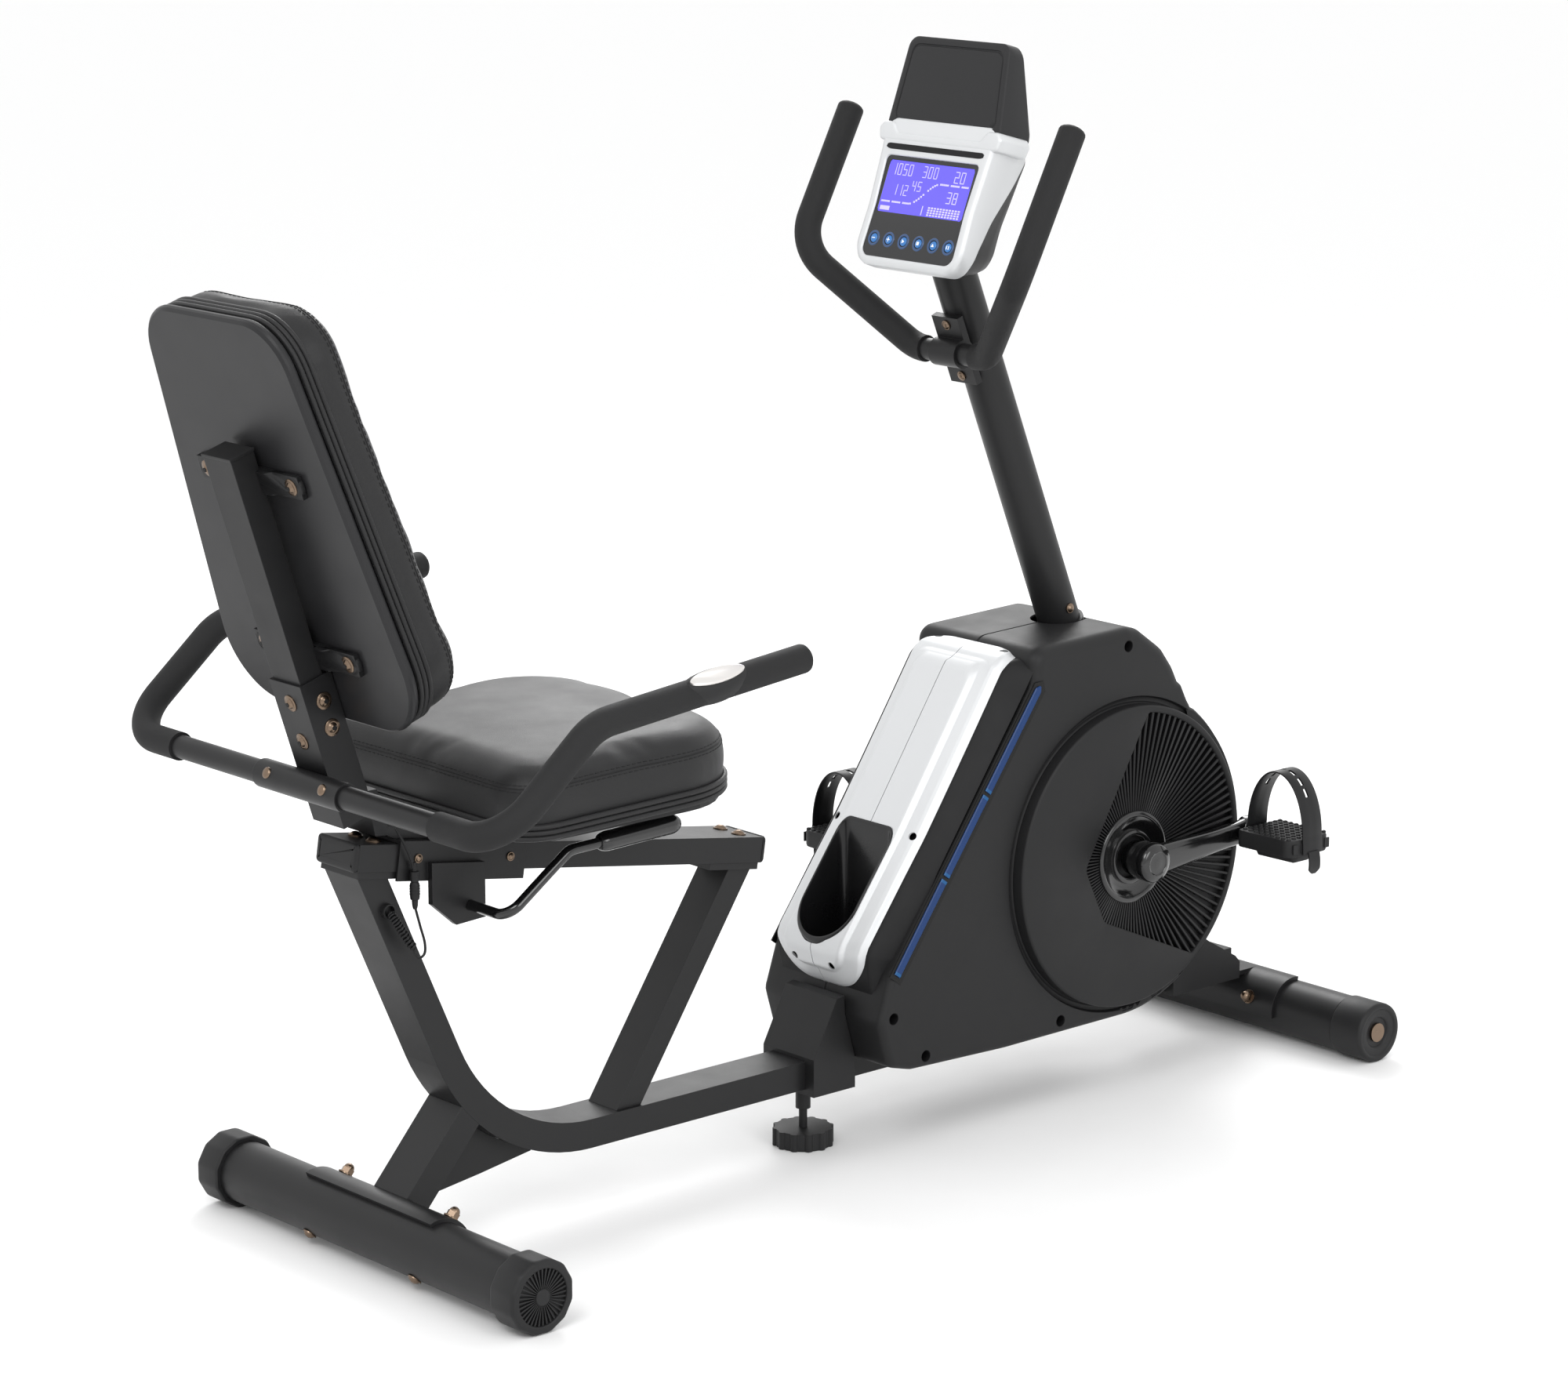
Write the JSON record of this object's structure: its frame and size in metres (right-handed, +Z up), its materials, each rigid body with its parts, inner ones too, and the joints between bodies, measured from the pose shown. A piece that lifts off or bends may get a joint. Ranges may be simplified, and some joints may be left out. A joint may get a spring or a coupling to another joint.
{
  "type": "recumbent exercise bike",
  "caption": "Recumbent exercise bike with a sliding padded seat and back, enclosed belt-driven cranks, side handles, console mast with handlebar, and stabilizer bars",
  "frame": {"origin": "on the floor below the middle of the bike's box", "axes": "X points forward from the seat to the pedals, Y to the rider's left, Z up"},
  "size_m": [1.6174, 0.704, 1.2898],
  "materials": {
    "frame_paint": "satin",
    "black_plastic": "matte",
    "silver_plastic": "satin",
    "hardware": "satin",
    "bare_steel": "satin",
    "blue_plastic": "gloss",
    "belt_rubber": "matte",
    "foam": "matte",
    "console_gloss": "gloss",
    "screen": "gloss",
    "cord_rubber": "satin",
    "crank_gloss": "gloss",
    "sensor_plate": "satin",
    "vinyl": "satin"
  },
  "bodies": {
    "frame": {"main_tube": "frame_paint", "rear_strut": "frame_paint", "front_leg": "frame_paint", "seat_rail": "frame_paint", "end_caps": "black_plastic", "stabilizer_saddles": "frame_paint", "rear_stabilizer": "frame_paint", "front_stabilizer": "frame_paint", "frame_bolts": "hardware", "shroud_screws": "black_plastic", "drive_frame": "frame_paint", "bearings": "bare_steel", "mast_tube": "frame_paint", "shroud_left": "black_plastic", "shroud_right": "black_plastic", "cover_left": "silver_plastic", "cover_right": "silver_plastic", "cup_holder": "black_plastic", "light_strips": "blue_plastic", "side_discs": "black_plastic", "beam_collars": "black_plastic", "drive_belt": "belt_rubber", "tension_motor": "black_plastic", "handlebar": "frame_paint", "handlebar_grips": "foam", "handlebar_clamp": "frame_paint", "console_housing": "silver_plastic", "console_panel": "console_gloss", "console_screen": "screen", "media_shelf": "black_plastic", "cable_grommet": "black_plastic", "curly_cord": "cord_rubber", "sensor_lead": "cord_rubber"},
    "crankset": {"crank_arms": "crank_gloss", "drive_pulley": "black_plastic"},
    "left_pedal": {"pedal_left": "black_plastic"},
    "right_pedal": {"pedal_right": "black_plastic"},
    "flywheel": {"flywheel": "bare_steel"},
    "magnet_arm": {"magnet_arm": "bare_steel"},
    "seat": {"carriage": "frame_paint", "seat_frame": "frame_paint", "seat_cushion": "vinyl", "seat_handle": "frame_paint", "seat_grips": "foam", "pulse_sensors": "sensor_plate", "back_upright": "frame_paint", "back_bracket": "frame_paint", "back_panel": "black_plastic", "back_cushion": "vinyl", "seat_bolts": "hardware"},
    "seat_lever": {"seat_lever": "crank_gloss"},
    "levelling_foot": {"levelling_foot": "black_plastic"},
    "left_roller": {"roller_left": "black_plastic"},
    "right_roller": {"roller_right": "black_plastic"},
    "button_1": {"button_1": "blue_plastic"},
    "button_2": {"button_2": "blue_plastic"},
    "button_3": {"button_3": "blue_plastic"},
    "button_4": {"button_4": "blue_plastic"},
    "button_5": {"button_5": "blue_plastic"},
    "button_6": {"button_6": "blue_plastic"}
  },
  "joints": [
    {"name": "seat_slide", "type": "slide", "parent": "frame", "child": "seat", "axis": [0.9877, 0, -0.1564], "range_m": [0, 0.28]},
    {"name": "lever_pivot", "type": "hinge", "parent": "seat", "child": "seat_lever", "pos_m": [-0.511, -0.042, 0.401], "axis": [0, -1, 0], "range_deg": [-15, 5], "stiffness_Nm_per_rad": 4, "springref_deg": 6.88},
    {"name": "crank_spin", "type": "hinge", "parent": "frame", "child": "crankset", "pos_m": [0.446, 0, 0.3], "axis": [0, 1, 0], "continuous": true},
    {"name": "left_pedal_spin", "type": "hinge", "parent": "crankset", "child": "left_pedal", "pos_m": [0.27438, 0.21, 0.2886], "axis": [0, 1, 0], "continuous": true},
    {"name": "right_pedal_spin", "type": "hinge", "parent": "crankset", "child": "right_pedal", "pos_m": [0.61762, -0.21, 0.3114], "axis": [0, 1, 0], "continuous": true},
    {"name": "flywheel_spin", "type": "hinge", "parent": "frame", "child": "flywheel", "pos_m": [0.262, 0, 0.228], "axis": [0, 1, 0], "continuous": true},
    {"name": "magnet_swing", "type": "hinge", "parent": "frame", "child": "magnet_arm", "pos_m": [0.252, 0, 0.34], "axis": [0, 1, 0], "range_deg": [0, 6]},
    {"name": "foot_height", "type": "slide", "parent": "frame", "child": "levelling_foot", "axis": [0, 0, 1], "range_m": [0, 0.02]},
    {"name": "left_roller_spin", "type": "hinge", "parent": "frame", "child": "left_roller", "pos_m": [0.77, 0.215, 0.038], "axis": [0, 1, 0], "continuous": true},
    {"name": "right_roller_spin", "type": "hinge", "parent": "frame", "child": "right_roller", "pos_m": [0.77, -0.215, 0.038], "axis": [0, 1, 0], "continuous": true},
    {"name": "button_1_press", "type": "slide", "parent": "frame", "child": "button_1", "axis": [0.9321, 0, -0.3623], "range_m": [0, 0.0015], "stiffness_N_per_m": 600},
    {"name": "button_2_press", "type": "slide", "parent": "frame", "child": "button_2", "axis": [0.9321, 0, -0.3623], "range_m": [0, 0.0015], "stiffness_N_per_m": 600},
    {"name": "button_3_press", "type": "slide", "parent": "frame", "child": "button_3", "axis": [0.9321, 0, -0.3623], "range_m": [0, 0.0015], "stiffness_N_per_m": 600},
    {"name": "button_4_press", "type": "slide", "parent": "frame", "child": "button_4", "axis": [0.9321, 0, -0.3623], "range_m": [0, 0.0015], "stiffness_N_per_m": 600},
    {"name": "button_5_press", "type": "slide", "parent": "frame", "child": "button_5", "axis": [0.9321, 0, -0.3623], "range_m": [0, 0.0015], "stiffness_N_per_m": 600},
    {"name": "button_6_press", "type": "slide", "parent": "frame", "child": "button_6", "axis": [0.9321, 0, -0.3623], "range_m": [0, 0.0015], "stiffness_N_per_m": 600}
  ],
  "couplings": [
    {"joint": "flywheel_spin", "follows": "crank_spin", "ratio": 5.75}
  ]
}
